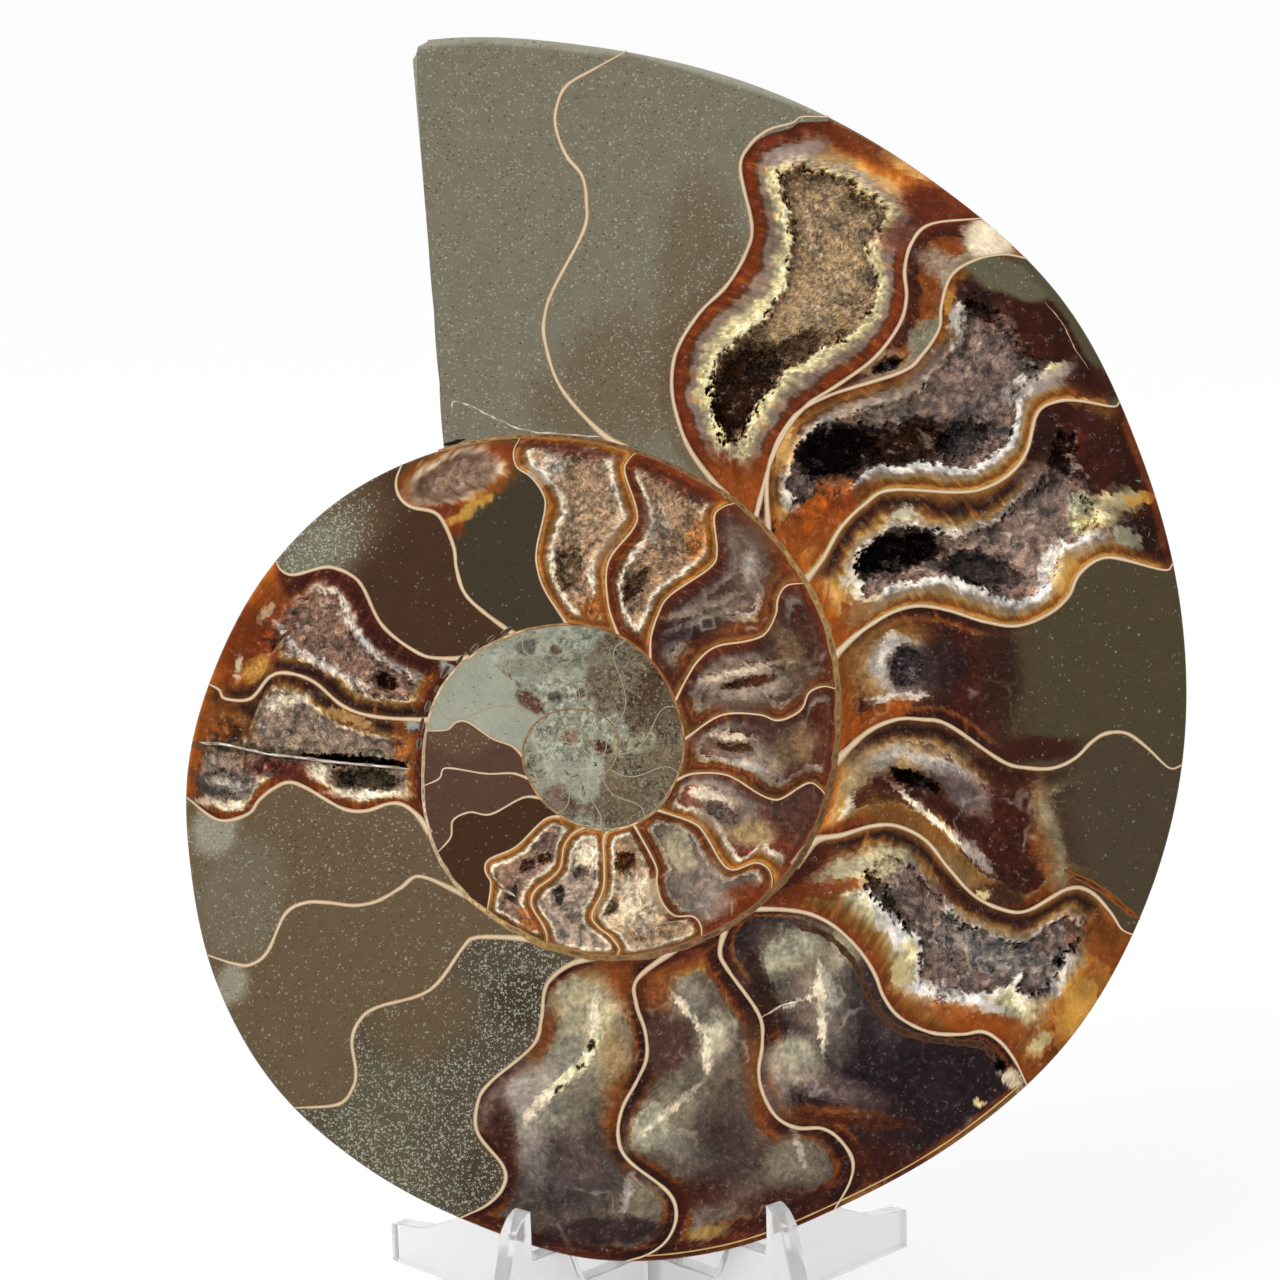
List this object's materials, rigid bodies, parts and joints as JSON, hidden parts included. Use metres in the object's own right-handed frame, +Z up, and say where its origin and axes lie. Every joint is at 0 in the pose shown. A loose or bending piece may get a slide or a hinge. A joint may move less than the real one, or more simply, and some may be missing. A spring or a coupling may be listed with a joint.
{
  "type": "ammonite fossil half on a stand",
  "caption": "Sawn and polished half of an ammonite with crystal-lined chambers, leaning in a clear slotted plate stand.",
  "frame": {"origin": "on the surface that it stands on, under the middle of the whole part's box", "axes": "+Z up, -Y towards the viewer of the sawn face, +X to that viewer's right"},
  "size_m": [0.1396, 0.0716, 0.1881],
  "materials": {
    "fossil_stone": "polished sawn face of brown calcite and olive mud fill",
    "clear_acrylic": "clear polished acrylic sheet"
  },
  "bodies": {
    "root": {"ammonite_half": "fossil_stone", "stand_plate_left": "clear_acrylic", "stand_plate_right": "clear_acrylic"}
  },
  "joints": []
}
